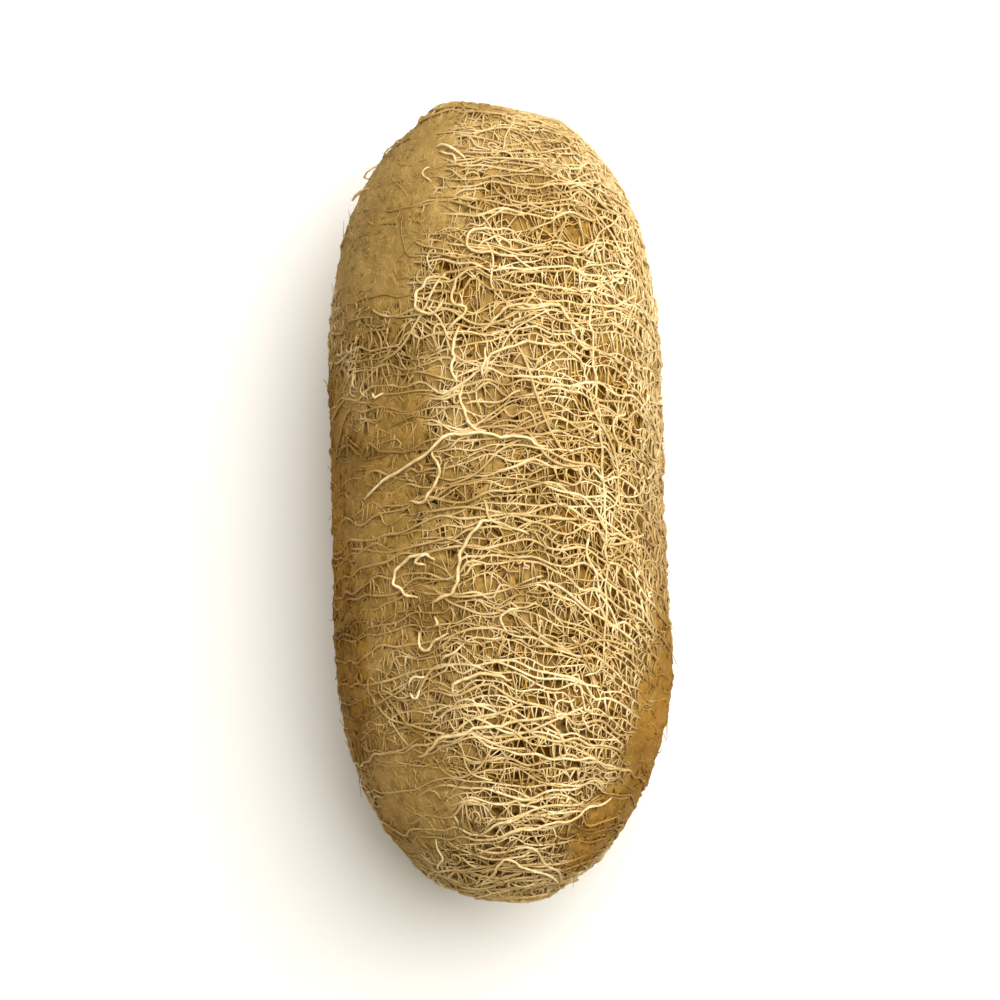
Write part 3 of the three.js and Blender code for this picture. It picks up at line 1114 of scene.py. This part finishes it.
def build_floor(half=3.0, under=0.1 * MM):
    """A pale square just under the sponge."""
    mesh = bpy.data.meshes.new("floor")
    corners = [(-half, -half), (half, -half), (half, half), (-half, half)]
    mesh.from_pydata([(x, y, -under) for x, y in corners], [], [(0, 1, 2, 3)])
    floor = bpy.data.objects.new("floor", mesh)
    bpy.context.scene.collection.objects.link(floor)
    paint = Paint("floor_paint")
    paint.shader.inputs["Base Color"].default_value = (0.9, 0.9, 0.9, 1)
    paint.shader.inputs["Roughness"].default_value = 0.9
    mesh.materials.append(paint.material)


def build_light():
    """One soft key light from the upper right, and warm light from all sides."""
    add_area_light("key", (0.37, 0.42, 0.86), size=1.2, energy=22, colour=(1, 0.98, 0.94))
    world = bpy.data.worlds.new("world")
    world.use_nodes = True
    background = world.node_tree.nodes["Background"]
    background.inputs["Color"].default_value = (1, 0.92, 0.74, 1)
    background.inputs["Strength"].default_value = 0.41
    bpy.context.scene.world = world
    bpy.context.scene.view_settings.view_transform = "Standard"


# The sponge


def build_inside(rng, inner):
    """Fibres from end to end, and short ones across them, in and under the under net."""
    tubes = Tubes(3)
    add_lengthwise(tubes, rng, count=74, depth=1.4, radius=0.24)
    add_loose_strands(
        tubes, rng, count=400, points=10, lengths=(7, 15), slope=1.2, depth=1.0, radius=0.2, curl=0.8
    )
    tubes.build("lengthwise_fibres", inner)


def build_rings(name, net, sides, material):
    tubes = Tubes(sides)
    net.add_rings(tubes)
    tubes.build(name, material)


def build_ties(name, net, material, pitch, radius, slant):
    tubes = Tubes(3)
    net.add_ties(tubes, pitch, radius, slant)
    tubes.build(name, material)


def build_nets(inner, straw):
    """The under net, and the outer net with two kinds of ties."""
    under = Net(seed=21, pitch=2.2, depth=0.95, weave=0.3, radii=(0.18, 0.22), step=1.5)
    build_rings("under_net", under, 3, inner)
    build_ties("under_ties", under, inner, pitch=4.0, radius=0.17, slant=0.7)
    outer = Net(seed=33, pitch=1.5, depth=0.28, weave=0.25, radii=(0.16, 0.2, 0.26), step=1.15)
    build_rings("net_strands", outer, 4, straw)
    build_ties("net_ties", outer, straw, pitch=1.6, radius=0.16, slant=0.5)
    build_ties("slanting_ties", outer, straw, pitch=4, radius=0.14, slant=1.6)


def build_strands(rng, straw):
    """Long strands and curls, the laid fibres, and fibres over the tips."""
    tubes = Tubes(4)
    add_loose_strands(
        tubes, rng, count=240, points=26, lengths=(8, 30), slope=0.4, depth=0.15, radius=0.23, curl=0.5
    )
    add_loose_strands(
        tubes, rng, count=340, points=14, lengths=(4, 12), slope=1.4, depth=0.05, radius=0.2, curl=1.8
    )
    add_laid_fibres(tubes)
    add_tip_fibres(tubes, rng, count=260)
    tubes.build("long_strands", straw)


def build_web(rng, straw):
    """Fine web in and over the net, and the short and long fibres of the felt."""
    tubes = Tubes(3)
    add_loose_strands(
        tubes, rng, count=800, points=9, lengths=(3, 9), slope=1.3, depth=0.4, radius=0.13, curl=1.2
    )
    add_loose_strands(
        tubes, rng, count=500, points=8, lengths=(3, 8), slope=1.3, depth=0.12, radius=0.12, curl=1.2
    )
    add_felt_fibres(
        tubes,
        rng,
        count=2200,
        points=5,
        lengths=(1.5, 5),
        sizes=(0.06, 0.12),
        covers=(0.45, 1.1),
        raised=(-0.03, 0.12),
    )
    add_felt_fibres(
        tubes,
        rng,
        count=420,
        points=11,
        lengths=(5, 13),
        sizes=(0.12, 0.2),
        covers=(0.3, 0.8),
        raised=(0.05, 0.3),
    )
    tubes.build("fine_web", straw)


def build_hairs(rng, straw):
    tubes = Tubes(3)
    add_hairs(tubes, rng, count=380)
    tubes.build("stray_hairs", straw)


def build_sponge():
    straw = fibre_material("straw_fibre", STRAW, roughness=0.6)
    inner = fibre_material("inner_fibre", INNER, roughness=0.62)
    matted = fibre_material("matted_fibre", MATTED, roughness=0.8, felted=True)
    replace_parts(bed_piece(BED_ROWS, BED_COLUMNS, matted), "loofah_sponge")
    rng = np.random.default_rng(11)
    build_inside(rng, inner)
    build_nets(inner, straw)
    build_strands(rng, straw)
    build_web(rng, straw)
    build_hairs(rng, straw)


build_camera()
build_floor()
build_light()
build_sponge()
